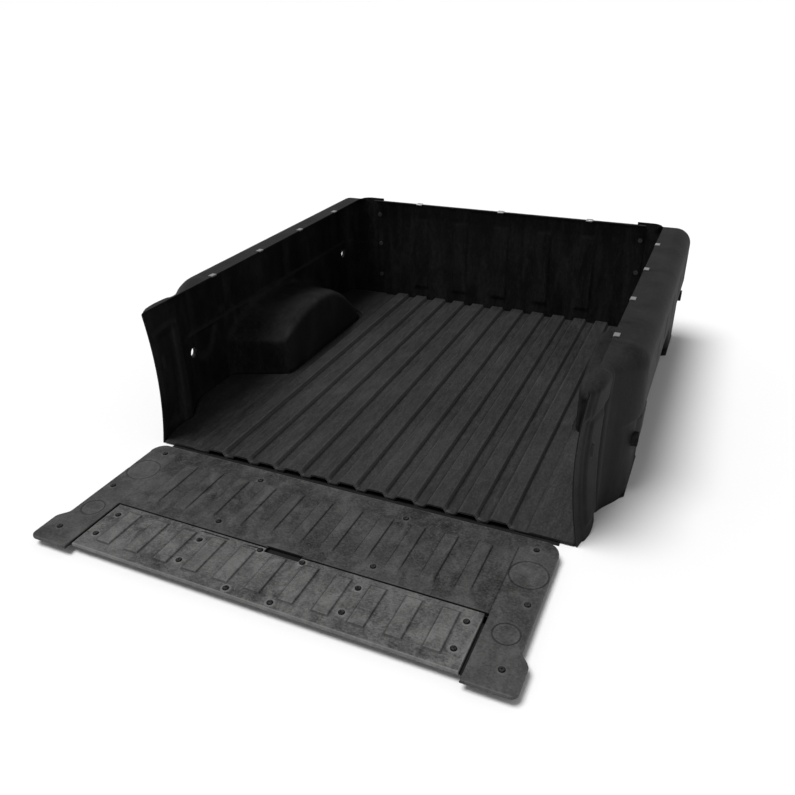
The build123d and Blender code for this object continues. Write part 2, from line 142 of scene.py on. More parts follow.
def finish_mesh(mesh, material, body, stands_for, sharp_angle=38.0):
    """An object for the mesh, smooth shaded, that rides on a body and stands for CAD nodes."""
    mesh.shade_smooth()
    mesh.set_sharp_from_angle(angle=math.radians(sharp_angle))
    mesh.materials.append(material)
    piece = bpy.data.objects.new(mesh.name, mesh)
    bpy.context.scene.collection.objects.link(piece)
    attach(piece, body)
    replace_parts(piece, *stands_for)
    return piece


def mesh_from(name, points, faces, values=None):
    """A mesh without its unused points. values are numbers per point that materials read."""
    faces = np.asarray(faces)
    used, where = np.unique(faces.ravel(), return_inverse=True)
    mesh = bpy.data.meshes.new(name)
    mesh.from_pydata(points[used].tolist(), [], where.reshape(faces.shape).tolist())
    for key, numbers in (values or {}).items():
        layer = mesh.attributes.new(key, "FLOAT", "POINT")
        layer.data.foreach_set("value", np.asarray(numbers, np.float32)[used])
    return mesh


def slab(name, points_top, points_bottom, keep, values):
    """A closed mesh between two grids of points, over the cells marked keep."""
    rows, cols = points_top.shape[:2]
    index = np.arange(rows * cols).reshape(rows, cols)
    corners = (index[:-1, :-1], index[:-1, 1:], index[1:, 1:], index[1:, :-1])
    upper = np.stack([c[keep] for c in corners], 1)
    below = rows * cols
    starts = upper.ravel()
    ends = np.roll(upper, -1, axis=1).ravel()
    size = below + 1
    shared = np.isin(starts * size + ends, ends * size + starts)
    p, q = starts[~shared], ends[~shared]
    walls = np.stack([q, p, p + below, q + below], 1)
    faces = np.concatenate([upper, upper[:, ::-1] + below, walls])
    points = np.concatenate([points_top.reshape(-1, 3), points_bottom.reshape(-1, 3)])
    doubled = {key: np.concatenate([v.ravel(), v.ravel()]) for key, v in values.items()}
    return mesh_from(name, points, faces, doubled)


def spread(*stops):
    """Sorted grid lines: each stop is (start, end, spacing)."""
    lines = [np.linspace(a, b, max(2, int(round((b - a) / s)) + 1)) for a, b, s in stops]
    merged = np.unique(np.round(np.concatenate(lines), 5))
    return merged[np.concatenate([[True], np.diff(merged) > 2e-4])]


def mirrored(lines):
    """Grid lines on both sides of the centre line."""
    return np.unique(np.round(np.concatenate([-lines, lines]), 5))


# ---------------------------------------------------------------- materials


class Finish:
    """A Principled material in row-frame coordinates, with short calls for its nodes."""

    def __init__(self, name, roughness, specular=0.5, metallic=0.0):
        self.material = bpy.data.materials.new(name)
        self.material.use_nodes = True
        self.tree = self.material.node_tree
        self.shader = self.tree.nodes["Principled BSDF"]
        self.shader.inputs["Roughness"].default_value = roughness
        self.shader.inputs["Specular IOR Level"].default_value = specular
        self.shader.inputs["Metallic"].default_value = metallic
        self.place = self.node("ShaderNodeTexCoord").outputs["Object"]

    def node(self, kind, **settings):
        made = self.tree.nodes.new(kind)
        for key, value in settings.items():
            setattr(made, key, value)
        return made

    def feed(self, socket, value):
        if isinstance(value, bpy.types.NodeSocket):
            self.tree.links.new(value, socket)
        else:
            socket.default_value = value

    def stretched(self, stretch, turn=0.0):
        mapping = self.node("ShaderNodeMapping")
        self.feed(mapping.inputs["Vector"], self.place)
        mapping.inputs["Scale"].default_value = stretch
        mapping.inputs["Rotation"].default_value = (0, 0, math.radians(turn))
        return mapping.outputs["Vector"]

    def noise(self, scale, stretch=(1, 1, 1), detail=4.0, roughness=0.55, turn=0.0, warp=0.0):
        made = self.node("ShaderNodeTexNoise")
        self.feed(made.inputs["Vector"], self.stretched(stretch, turn))
        made.inputs["Scale"].default_value = scale
        made.inputs["Detail"].default_value = detail
        made.inputs["Roughness"].default_value = roughness
        made.inputs["Distortion"].default_value = warp
        return made.outputs["Fac"]

    def attribute(self, name):
        return self.node("ShaderNodeAttribute", attribute_name=name).outputs["Fac"]

    def band(self, value, low, high, out_low=0.0, out_high=1.0):
        """The value with low to high stretched to out_low to out_high, and held there."""
        made = self.node("ShaderNodeMapRange")
        limits = {"From Min": low, "From Max": high, "To Min": out_low, "To Max": out_high}
        for key, number in limits.items():
            made.inputs[key].default_value = number
        self.feed(made.inputs["Value"], value)
        return made.outputs["Result"]

    def maths(self, operation, a, b):
        made = self.node("ShaderNodeMath", operation=operation)
        self.feed(made.inputs[0], a)
        self.feed(made.inputs[1], b)
        return made.outputs[0]

    def mix(self, a, b, share):
        """Colour a, with that share of colour b."""
        made = self.node("ShaderNodeMix", data_type="RGBA")
        for socket, value in ((made.inputs[6], a), (made.inputs[7], b), (made.inputs[0], share)):
            self.feed(socket, value)
        return made.outputs[2]

    def relief(self, *layers):
        """Bump from (height, strength, distance) layers, one on the other."""
        normal = None
        for height, strength, distance in layers:
            bump = self.node("ShaderNodeBump")
            bump.inputs["Strength"].default_value = strength
            bump.inputs["Distance"].default_value = distance
            self.feed(bump.inputs["Height"], height)
            if normal is not None:
                self.feed(bump.inputs["Normal"], normal)
            normal = bump.outputs["Normal"]
        self.feed(self.shader.inputs["Normal"], normal)

    def colour(self, value):
        self.feed(self.shader.inputs["Base Color"], value)

    def rough(self, value):
        self.feed(self.shader.inputs["Roughness"], value)


def grey(level, warmth=0.0):
    """A grey, with more red and less blue by the share warmth."""
    return (level * (1 + warmth), level, level * (1 - warmth), 1.0)


def mat_rubber():
    """Black rubber, streaked along the ribs by loads, with painted shade in its channels and creases and on
    one side of each rib, and a painted highlight on the other side.
    """
    f = Finish("mat_rubber", 0.62, specular=0.28)
    streaks = f.noise(26.0, (3.2, 0.55, 3.2), detail=7.0, roughness=0.68)
    specks = f.noise(95.0, (1.6, 0.8, 1.6), detail=4.0, roughness=0.7)
    clouds = f.noise(2.4, (1, 0.7, 1), detail=6.0, roughness=0.62, warp=0.4)
    smears = f.noise(7.0, (1.8, 0.6, 1), detail=6.0, roughness=0.66, warp=0.8, turn=12.0)
    raised = f.attribute("raised")
    base = f.mix(grey(0.008), grey(0.024, 0.005), f.band(streaks, 0.34, 0.66))
    base = f.mix(base, grey(0.045, 0.01), f.band(clouds, 0.40, 0.74, 0.0, 0.40))
    base = f.mix(base, grey(0.065, 0.01), f.band(smears, 0.50, 0.78, 0.0, 0.30))
    base = f.mix(base, grey(0.005), f.band(specks, 0.52, 0.32, 0.0, 0.60))
    base = f.mix(base, grey(0.075), f.band(specks, 0.56, 0.74, 0.0, 0.45))
    # painted shade: the channels between the ribs are darker than the rib tops
    base = f.mix(grey(0.007), base, f.band(raised, 0.0, 0.5, 0.86, 1.0))
    # near-black painted shade in creases, gaps and slots and on shaded flanks, where the attribute marks it
    groove = f.attribute("groove")
    base = f.mix(base, grey(0.002), f.band(groove, 0.1, 1.0, 0.0, 0.9))
    # lighter along the ribs' top edges, and a painted highlight on their passenger-side slopes, as the edge
    # attribute marks
    base = f.mix(base, grey(0.085, 0.01), f.band(f.attribute("edge"), 0.2, 1.0, 0.0, 0.50))
    f.colour(base)
    f.rough(f.band(f.maths("ADD", streaks, clouds), 0.6, 1.4, 0.52, 0.76))
    grain = f.noise(1500.0, detail=2.0)
    f.relief((clouds, 0.3, 0.006), (streaks, 0.4, 0.0016), (specks, 0.35, 0.0008), (grain, 0.22, 0.0003))
    return f.material


def worn_sheet(name, dark, light, dusty, dust_share, roughness, specular, film_share=0.45):
    """Haircell polyethylene with scuffs, mottling and dust that lies on its level parts, lighter where wear
    and painted highlights are marked, and near black where painted shade is marked.
    """
    f = Finish(name, roughness, specular=specular)
    clouds = f.noise(3.6, (1, 1.5, 0.6), detail=8.0, roughness=0.66, warp=0.4)
    patches = f.noise(11.0, (1.5, 1, 0.30), detail=8.0, roughness=0.72, warp=0.6)
    flecks = f.noise(130.0, (1.0, 1.4, 0.35), detail=4.0, roughness=0.75, warp=0.3)
    stains = f.noise(3.0, (1, 1.3, 1), detail=5.0, roughness=0.6, warp=0.8, turn=40.0)
    scuffs = f.noise(20.0, (1.0, 7.0, 1.0), detail=6.0, roughness=0.72, turn=24.0)
    scratch = f.noise(40.0, (12.0, 0.6, 4.0), detail=3.0, roughness=0.65, turn=-31.0)
    hair = f.noise(420.0, (1, 1, 1), detail=3.0, roughness=0.6)
    level = f.node("ShaderNodeSeparateXYZ")
    f.feed(level.inputs[0], f.node("ShaderNodeNewGeometry").outputs["Normal"])
    upward = f.band(level.outputs["Z"], 0.25, 0.95)
    base = f.mix(grey(dark), grey(light, 0.004), f.band(clouds, 0.38, 0.62))
    base = f.mix(base, grey(dusty, 0.012), f.band(patches, 0.45, 0.66, 0.0, dust_share))
    base = f.mix(base, grey(dark), f.band(stains, 0.54, 0.68, 0.0, 0.55))
    base = f.mix(base, grey(dark * 0.45), f.band(flecks, 0.48, 0.33, 0.0, 0.75))
    base = f.mix(base, grey(dusty * 1.35, 0.01), f.band(flecks, 0.54, 0.70, 0.0, 0.60 * dust_share))
    base = f.mix(base, grey(dusty * 1.25, 0.01), f.band(scuffs, 0.58, 0.76, 0.0, 0.50 * dust_share))
    base = f.mix(base, grey(dusty * 1.9, 0.005), f.band(scratch, 0.68, 0.78, 0.0, 0.45 * dust_share))
    film = f.maths("MULTIPLY", upward, f.band(f.maths("ADD", clouds, flecks), 0.75, 1.25))
    base = f.mix(base, grey(dusty * 1.1, 0.012), f.maths("MULTIPLY", film, film_share))
    # the edge attribute lightens rubbed places and painted highlights alike
    edge = f.attribute("edge")
    base = f.mix(base, grey(dusty * 1.7, 0.01), f.band(edge, 0.2, 1.0, 0.0, 0.6 * dust_share))
    # near-black painted shade in creases, gaps and slots and on shaded flanks, where the attribute marks it
    groove = f.attribute("groove")
    base = f.mix(base, grey(dark * 0.1), f.band(groove, 0.1, 1.0, 0.0, 0.95))
    f.colour(base)
    f.rough(f.band(f.maths("ADD", patches, flecks), 0.7, 1.35, roughness - 0.08, roughness + 0.16))
    f.relief((clouds, 0.25, 0.008), (flecks, 0.30, 0.0012), (hair, 0.35, 0.0007), (scratch, 0.15, 0.0005))
    return f.material


def hardware(name, level, metallic, roughness, worn, specular=0.5):
    """Small fittings: darker in the pores, lighter and smoother where rubbed."""
    f = Finish(name, roughness, specular=specular, metallic=metallic)
    pores = f.noise(900.0, detail=4.0)
    rubbed = f.noise(160.0, (1, 1, 2), detail=5.0, roughness=0.65, warp=0.5)
    f.colour(f.mix(grey(level), grey(worn, 0.01), f.band(rubbed, 0.42, 0.75)))
    f.rough(f.band(rubbed, 0.3, 0.7, roughness + 0.08, roughness - 0.08))
    f.relief((rubbed, 0.15, 0.0005), (pores, 0.25, 0.0002))
    return f.material


RUBBER = mat_rubber()
# sheets: dark, light and dusty greys, share of dust, roughness
# the side and front panels' sheet is much darker than the tailgate's: painted shade
SHADED_WALL_SHEET = worn_sheet("side_sheet", 0.0020, 0.0065, 0.026, 0.50, 0.66, specular=0.12, film_share=0.50)
GATE_SHEET = worn_sheet("tailgate_sheet", 0.002, 0.018, 0.068, 0.80, 0.58, specular=0.25)
STOP_SHEET = worn_sheet("load_stop_sheet", 0.008, 0.044, 0.120, 0.85, 0.60, specular=0.32)
# fittings: grey, metallic, roughness, grey where worn
SCREW_BLACK = hardware("screw_black", 0.006, 0.15, 0.35, 0.07, specular=0.2)
WASHER_BLACK = hardware("washer_black", 0.004, 0.0, 0.50, 0.012, specular=0.06)
FASTENER_PLASTIC = hardware("fastener_plastic", 0.03, 0.0, 0.38, 0.06)
NYLON = hardware("nylon", 0.55, 0.0, 0.45, 0.66)
CLIP_STEEL = hardware("clip_steel", 0.34, 0.95, 0.33, 0.5)

# ---------------------------------------------------------------- the side panels' moulded shape

# cargo-side plan of the rear post, as distance from the sill and X, at mid-height
POST_PLAN = soft_line(
    [(0.0, 0.770), (0.09, 0.791), (0.205, 0.812), (0.323, 0.889), (0.40, 0.940)], 0.010
)
POST_SPLAY = 0.026        # the post's rear edge leans out by about this at its foot and top
POST_WAIST = 0.31         # height at which it doesn't
POST_RIB = (0.157, 0.205)
POST_RIB_RISE = 0.008
POST_RIM = 0.045          # the post's raised rear edge ends this far from the sill
POST_RIM_RISE = 0.005
POST_POCKET_DEPTH = 0.008
POST_SHELF_DEPTH = 0.009
SLOT_D, SLOT_Z = 0.078, 0.315      # middle of the slot in the post's pocket
SLOT_DEPTH = 0.007
LEDGE_Z = 0.296
WALL_X = 0.889
UPPER_WALL_X = 0.903
WALL_RIB_START = 0.60
WALL_RIB_PITCH = 0.24
WALL_RIB_RISE = 0.003
WALL_POCKET_DEPTH = 0.014
POST_FILLET = 0.035       # between the post and the wall
SHOULDER = ((0.0, 0.007), (0.10, 0.018), (0.20, 0.034), (0.33, 0.066))   # radius by distance from the sill
SHOULDER_REACH = 0.772    # the shoulder's level top reaches in to this X
LIP_EDGE = 0.780          # and is cut off at this one
WRAP_EDGE = 0.660         # X where the turn across the bulkhead ends
WRAP_FILLET = 0.045
WRAP_REACH = 0.048        # the turn takes up this length of the panel
# outline of the wheelhouse cover at its inner face and against the wall
ARCH_INNER = soft_line(
    [(0.50, 0.14), (0.679, 0.150), (0.704, 0.190), (0.816, 0.246), (0.925, 0.268), (1.03, 0.271),
     (1.137, 0.255), (1.255, 0.184), (1.357, 0.085), (1.440, -0.02), (1.6, -0.24)], 0.022
)
ARCH_WALL = soft_line(
    [(0.50, 0.15), (0.582, 0.175), (0.640, 0.222), (0.735, 0.262), (0.85, 0.280), (0.99, 0.281),
     (1.173, 0.248), (1.33, 0.192), (1.469, 0.122), (1.60, -0.02)], 0.022
)
WHEEL_REAR_INNER = 0.679   # distance from the sill of the cover's rear face
WHEEL_REAR_WALL = 0.579
COVER_SWELL = 0.003
COVER_EDGE = 0.040         # rounding between its inner and rear faces
COVER_CROWN = 0.038        # rounding of its top
COVER_CROWN_REAR = 0.024   # less rounding by this near its rear end
COVER_FILLET = 0.028       # where it meets the wall
TIE_DOWNS = ((0.352, 0.217), (1.700, 0.235))
TIE_DOWN_R = 0.022
COLLAR_END = 0.908
COLLAR_WALL = 0.003


def post_relief(d, z):
    """How far the post's ribs and pocket stand off its face, towards the cargo."""
    front_rib = between(d, *POST_RIB, 0.012)
    rear_rim = ease((POST_RIM - d) / 0.012)
    pocket = ease((d - 0.05) / 0.014) * ease((0.155 - d) / 0.012) * between(z, 0.03, 0.435, 0.03)
    shelf = ease((z - 0.43) / 0.025) * between(d, 0.01, 0.21, 0.02)
    slot = stripe(d, SLOT_D, 0.006, 0.004) * stripe(z, SLOT_Z, 0.026, 0.006)
    raised = POST_RIB_RISE * front_rib + POST_RIM_RISE * rear_rim
    return raised - POST_POCKET_DEPTH * pocket - POST_SHELF_DEPTH * shelf - SLOT_DEPTH * slot


def wall_pocket(d, z):
    """Depth of the hollow with a curved floor between the post and the wheelhouse."""
    floor_z = 0.158 + 0.15 * ease((d - 0.45) / 0.12)
    return WALL_POCKET_DEPTH * ease((z - floor_z + 0.02) / 0.07) * ease((d - 0.36) / 0.05)


def side_face(d, z):
    """X of the post's and the wall's cargo side."""
    splay = POST_SPLAY * ((z - POST_WAIST) / 0.27) ** 2 * ease((0.26 - d) / 0.2)
    post = POST_PLAN(d) + splay - post_relief(d, z)
    wave = np.sin(2 * math.pi * (d - WALL_RIB_START) / WALL_RIB_PITCH)
    ribs = WALL_RIB_RISE * ease(wave * 2.2 - 1.0) * ease((d - WALL_RIB_START - 0.02) / 0.05)
    lower = WALL_X + wall_pocket(d, z) * ease((LEDGE_Z - 0.004 - z) / 0.014)
    upper = UPPER_WALL_X - ribs * between(z, 0.33, 0.45, 0.03)
    wall = lower + (upper - lower) * ease((z - LEDGE_Z + 0.004) / 0.010)
    near = np.maximum(POST_FILLET - np.abs(post - wall), 0) / POST_FILLET
    return np.minimum(post, wall) - near * near * POST_FILLET / 4


def side_field(x, y, z):
    """Signed distance from the side panel's cargo side, positive in the open bed."""
    d = y - SILL
    leaning = 1 + 0.22 * ease((0.36 - d) / 0.15)
    sides = (side_face(d, z) - x) / leaning
    over = np.maximum(TOP - SHEET - z, SHOULDER_REACH - x)
    shoulder = np.interp(d, *zip(*SHOULDER))
    ahead = WRAP_FACE - y
    hollow = fillet_min(fillet_min(sides, over, shoulder), ahead, WRAP_FILLET)
    # the wheelhouse cover
    share = (x - WHEEL_X) / (WALL_X - WHEEL_X)
    crown = (1 - share) * ARCH_INNER(d) + share * ARCH_WALL(d)
    swell = COVER_SWELL * wave_noise(d * 16, x * 22, 4)
    slope = 1 + 0.55 * ease((d - 1.12) / 0.2)
    above = (z - crown - swell) / slope
    rear_d = WHEEL_REAR_INNER + share * (WHEEL_REAR_WALL - WHEEL_REAR_INNER) + 0.02 * (0.18 - z)
    behind = (rear_d - d) * 0.92
    corner = round_max(WHEEL_X - x, behind, COVER_EDGE)
    cover = round_max(corner, above, COVER_CROWN - COVER_CROWN_REAR * ease((0.80 - d) / 0.10))
    return fillet_min(hollow, cover, COVER_FILLET)


def surface_net(field, low, high, step):
    """Points and quads on the zero level of a field, facing its positive side."""
    axes = [np.arange(a, b + step, step) for a, b in zip(low, high)]
    value = field(*np.meshgrid(*axes, indexing="ij"))
    solid = value < 0
    shape = tuple(n - 1 for n in value.shape)
    total = np.zeros(shape + (3,))
    count = np.zeros(shape)
    crossings = []
    for a in range(3):
        first = [slice(None)] * 3
        second = [slice(None)] * 3
        first[a], second[a] = slice(None, -1), slice(1, None)
        v0, v1 = value[tuple(first)], value[tuple(second)]
        cross = solid[tuple(first)] != solid[tuple(second)]
        share = np.where(cross, v0 / np.where(cross, v0 - v1, 1), 0)
        crossings.append((cross, solid[tuple(first)]))
        b, c = (a + 1) % 3, (a + 2) % 3
        for db in (0, 1):
            for dc in (0, 1):
                part = [slice(None)] * 3
                part[b] = slice(db, db + shape[b])
                part[c] = slice(dc, dc + shape[c])
                hit = cross[tuple(part)]
                count += hit
                total[..., a] += hit * share[tuple(part)]
                total[..., b] += hit * db
                total[..., c] += hit * dc
    used = count > 0
    number = np.full(shape, -1)
    number[used] = np.arange(used.sum())
    cell = np.argwhere(used)
    points = (cell + total[used] / count[used][:, None]) * step + np.array(low)
    quads = []
    for a, (cross, starts_solid) in enumerate(crossings):
        b, c = (a + 1) % 3, (a + 2) % 3
        at = np.argwhere(cross)
        inner = (at[:, b] > 0) & (at[:, b] < shape[b]) & (at[:, c] > 0) & (at[:, c] < shape[c])
        at = at[inner]
        ring = []
        for db, dc in ((-1, -1), (0, -1), (0, 0), (-1, 0)):
            near = at.copy()
            near[:, b] += db
            near[:, c] += dc
            ring.append(number[tuple(near.T)])
        quad = np.stack(ring, 1)
        outward = starts_solid[tuple(at.T)]
        quad[~outward] = quad[~outward][:, ::-1]
        quads.append(quad)
    # draw the points on to the true surface
    for _ in range(4):
        h = step * 0.25
        here = field(*points.T)
        gradient = np.stack(
            [(field(*(points + h * e).T) - field(*(points - h * e).T)) / (2 * h) for e in np.eye(3)], 1
        )
        move = gradient * (here / np.maximum((gradient**2).sum(1), 0.2))[:, None]
        points = points - np.clip(move, -step, step) * 0.9
    return points, np.concatenate(quads)


def once_each(items):
    """The items without repeats, in the order they come, so that every run gives the same mesh."""
    return list(dict.fromkeys(items))


def clip(mesh_bm, point, normal, only=lambda face: True):
    """Cuts away what lies on the normal's side of the plane, among the faces that only picks."""
    faces = [f for f in mesh_bm.faces if only(f)]
    edges = once_each(e for f in faces for e in f.edges)
    verts = once_each(v for f in faces for v in f.verts)
    bmesh.ops.bisect_plane(
        mesh_bm, geom=[*faces, *edges, *verts], plane_co=point, plane_no=normal, dist=1e-5, clear_outer=True
    )


def drill(piece, centre, radius):
    """A round hole through a wall that faces X."""
    cutter_mesh = bpy.data.meshes.new("cutter")
    cutter = bmesh.new()
    bmesh.ops.create_cone(cutter, cap_ends=True, segments=48, radius1=radius, radius2=radius, depth=0.05)
    cutter.transform(Matrix.Translation(centre) @ Matrix.Rotation(math.radians(90), 4, "Y"))
    cutter.to_mesh(cutter_mesh)
    cutter.free()
    tool = bpy.data.objects.new("cutter", cutter_mesh)
    bpy.context.scene.collection.objects.link(tool)
    cut = piece.modifiers.new("hole", "BOOLEAN")
    cut.object = tool
    cut.operation = "DIFFERENCE"
    cut.solver = "EXACT"
    apply_modifiers(piece)
    bpy.data.objects.remove(tool)


def apply_modifiers(piece):
    """Turns the object's modifiers into mesh."""
    graph = bpy.context.evaluated_depsgraph_get()
    mesh = bpy.data.meshes.new_from_object(piece.evaluated_get(graph))
    piece.modifiers.clear()
    piece.data = mesh


def is_lip(face):
    """Whether the face belongs to the shoulder that turns in under the bed rail."""
    centre = face.calc_center_median()
    return centre.z > TOP - 0.02 and centre.y <= WRAP_FACE - WRAP_REACH


def is_wrap(face):
    """Whether the face belongs to the panel's turn across the bulkhead."""
    return face.calc_center_median().y > WRAP_FACE - WRAP_REACH


def side_mesh():
    """The right panel's sheet."""
    step = 0.007
    low = (WHEEL_X - 0.03, SILL - 0.02, -0.02)
    high = (side_high.x + 0.02, side_high.y + 0.01, TOP + 0.012)
    points, quads = surface_net(side_field, low, high, step)
    mesh = mesh_from("side", points, quads)
    bm = bmesh.new()
    bm.from_mesh(mesh)
    clip(bm, (0, 0, 0.0005), (0, 0, -1))
    clip(bm, (0, 0, TOP), (0, 0, 1))
    clip(bm, (0, SILL + 0.002, 0), (0, -1, 0))
    clip(bm, (LIP_EDGE, 0, 0), (-1, 0, 0), is_lip)
    clip(bm, (WRAP_EDGE, 0, 0), (-1, 0, 0), is_wrap)
    for corner in [v for v in bm.verts if not v.link_faces]:
        bm.verts.remove(corner)
    bm.to_mesh(mesh)
    bm.free()
    return mesh


# ---------------------------------------------------------------- side panels

# plan of the floor flange, apart from its edge at the post, as X and distance from the sill
FLANGE_FOOT = [
    (0.893, 0.325), (0.893, 0.592), (0.674, 0.692), (0.657, 0.706), (0.645, 0.730), (0.645, 1.385),
    (0.655, 1.395), (0.893, 1.520), (0.893, 1.764), (0.634, 1.764), (0.634, 0.004),
]
FLANGE_Z = 0.0004
FLANGE_THICK = 0.0038


def add_flange(bm):
    """The flat foot that lies on the bed floor under the mat's border, round the wheelhouse."""
    post = [(float(side_face(d, 0.004)) + 0.002, d) for d in np.linspace(0.004, 0.30, 12)]
    low, high = [
        [bm.verts.new((x, SILL + d, z)) for x, d in post + FLANGE_FOOT]
        for z in (FLANGE_Z, FLANGE_Z + FLANGE_THICK)
    ]
    faces = [bm.faces.new(low), bm.faces.new(high)]
    faces += [bm.faces.new((low[i - 1], low[i], high[i], high[i - 1])) for i in range(len(low))]
    bmesh.ops.recalc_face_normals(bm, faces=faces)


def add_collars(piece, sign):
    """Drawn collars on the steel side of the tie-down holes."""
    bm = bmesh.new()
    bm.from_mesh(piece.data)
    outer = TIE_DOWN_R + COLLAR_WALL
    section = [(TIE_DOWN_R, WALL_X), (TIE_DOWN_R, COLLAR_END), (outer, COLLAR_END), (outer, WALL_X)]
    turns = np.linspace(0, 2 * math.pi, 49)[:-1]
    for d, z in TIE_DOWNS:
        rings = [
            [bm.verts.new((sign * x, SILL + d + r * math.cos(t), z + r * math.sin(t))) for t in turns]
            for r, x in section
        ]
        for near, far in zip(rings, rings[1:] + rings[:1]):
            for i in range(len(turns)):
                j = (i + 1) % len(turns)
                quad = (near[i], near[j], far[j], far[i])
                bm.faces.new(quad if sign > 0 else quad[::-1])
    bm.to_mesh(piece.data)
    bm.free()


def add_wear_and_painted_light(mesh):
    """Marks lighter places: dust and scuffs at the walls' foot and on the lower post, lighter round the
    slot and along the ledge, painted highlights on the post rib's edges and the wall pocket's rim, and
    painted light over the wheelhouse cover's inner face.
    """
    points = np.empty(len(mesh.vertices) * 3)
    mesh.vertices.foreach_get("co", points)
    x, y, z = points.reshape(-1, 3).T
    d = y - SILL
    # painted highlights along the post rib's edges
    rib_edges = np.maximum(stripe(d, 0.160, 0.011, 0.008), stripe(d, 0.203, 0.011, 0.008))
    rib = np.maximum(rib_edges, 0.55 * stripe(d, 0.181, 0.022, 0.01)) * ease((0.45 - z) / 0.05)
    slot = stripe(d, SLOT_D, 0.014, 0.006) * stripe(z, SLOT_Z, 0.034, 0.01)
    pocket = wall_pocket(d, z) / WALL_POCKET_DEPTH
    # painted highlight along the wall pocket's curved rim
    rim = 2.0 * pocket * (1 - pocket) * (d < 0.62)
    ledge = 0.35 * stripe(z, LEDGE_Z, 0.010, 0.006) * (d > 0.26)
    foot = 0.4 * ease((0.07 - z) / 0.05)
    post = 0.36 * ease((0.26 - d) / 0.03) * ease((0.45 - z) / 0.06)
    # painted light: the wheelhouse cover's inner face is lighter
    cover = 0.80 * ease((WHEEL_X + 0.030 - np.abs(x)) / 0.020) * (z > 0.02) * (y < WRAP_FACE - 0.1)
    wear_and_painted_light = np.maximum.reduce([rib, slot, rim, ledge, foot, post, cover])
    layer = mesh.attributes.new("edge", "FLOAT", "POINT")
    layer.data.foreach_set("value", wear_and_painted_light.astype(np.float32))


def side_panel(side):
    """One side panel: sheet, floor flange and lip, with holes for the tie-down rings."""
    sign = 1 if side == "right" else -1
    mesh = side_mesh()
    piece_name = f"{side}_side_sheet"
    mesh.name = piece_name
    if sign < 0:
        mesh.transform(Matrix.Scale(-1, 4, (1, 0, 0)))
        mesh.flip_normals()
    piece = finish_mesh(mesh, SHADED_WALL_SHEET, "liner", [f"{side}_side_panel"])
    thick = piece.modifiers.new("sheet", "SOLIDIFY")
    thick.thickness = SHEET
    thick.offset = -1
    apply_modifiers(piece)
    bm = bmesh.new()
    bm.from_mesh(piece.data)
    if sign < 0:
        bmesh.ops.scale(bm, vec=(-1, 1, 1), verts=bm.verts)
    add_flange(bm)
    if sign < 0:
        bmesh.ops.scale(bm, vec=(-1, 1, 1), verts=bm.verts)
        bmesh.ops.recalc_face_normals(bm, faces=bm.faces)
    bm.to_mesh(piece.data)
    bm.free()
    for d, z in TIE_DOWNS:
        drill(piece, (sign * (WALL_X + SHEET / 2), SILL + d, z), TIE_DOWN_R)
    add_collars(piece, sign)
    add_wear_and_painted_light(piece.data)
    piece.data.shade_smooth()
    piece.data.set_sharp_from_angle(angle=math.radians(38))
    return piece


side_panel("left")
side_panel("right")

# ---------------------------------------------------------------- floor mat

RIB_PITCH = 0.110
RIB_COUNT = 11
RIB_X = (np.arange(RIB_COUNT) - (RIB_COUNT - 1) / 2) * RIB_PITCH
# plan of the mat's edge, as distance from the sill and X
MAT_OUTLINE = [
    (0.0, 0.769), (0.100, 0.793), (0.219, 0.809), (0.322, 0.886), (0.574, 0.886), (0.651, 0.692),
    (0.672, 0.652), (0.706, 0.637), (1.396, 0.637), (1.440, 0.652), (1.466, 0.692), (1.584, 0.886),
    (1.720, 0.886), (1.756, 0.850),
]
MAT_THICK = 0.009
MAT_RISE = 0.017
MAT_PLAIN = 0.63           # the grid's columns run straight as far out as this
MAT_MARGIN = 0.25          # width of the rest, before its columns are fitted to the mat's edge
RIB_FOOT = 0.0383          # from a rib's middle to the fine groove along its foot
GROOVE_X = 0.640           # groove between the ribs and the border
# columns near a rib, as distances from its middle
MAT_COLUMN_STEPS = np.concatenate(
    [np.linspace(-0.036, 0.036, 25), [-0.0395, -RIB_FOOT, -0.037, 0.037, RIB_FOOT, 0.0395]]
)
# a near-black strip of painted shade under the ribs' hollow ends
HOLLOW_SHADE_SIZE = (1.50, 0.120, 0.0014)
HOLLOW_SHADE_MIDDLE = (0.046, 0.001)       # distance from the sill, height


def nearest_rib(x):
    """Distance from the middle of the nearest rib."""
    return np.abs(x[..., None] - RIB_X).min(-1)


def rib_side(x):
    """Distance from the middle of the nearest rib, positive towards the passenger side."""
    return x - RIB_X[np.abs(x[..., None] - RIB_X).argmin(-1)]


def add_hollow_shade_strip(mesh):
    """A thin near-black strip under the ribs' open ends, which laps over the sill: painted shade that
    stands for the shade in their hollows.
    """
    bm = bmesh.new()
    bm.from_mesh(mesh)
    d, z = HOLLOW_SHADE_MIDDLE
    place = Matrix.Translation((0, SILL + d, z)) @ Matrix.Diagonal((*HOLLOW_SHADE_SIZE, 1))
    made = bmesh.ops.create_cube(bm, size=1.0, matrix=place)
    layer = bm.verts.layers.float["groove"]
    for vert in made["verts"]:
        vert[layer] = 1.0
    bm.to_mesh(mesh)
    bm.free()


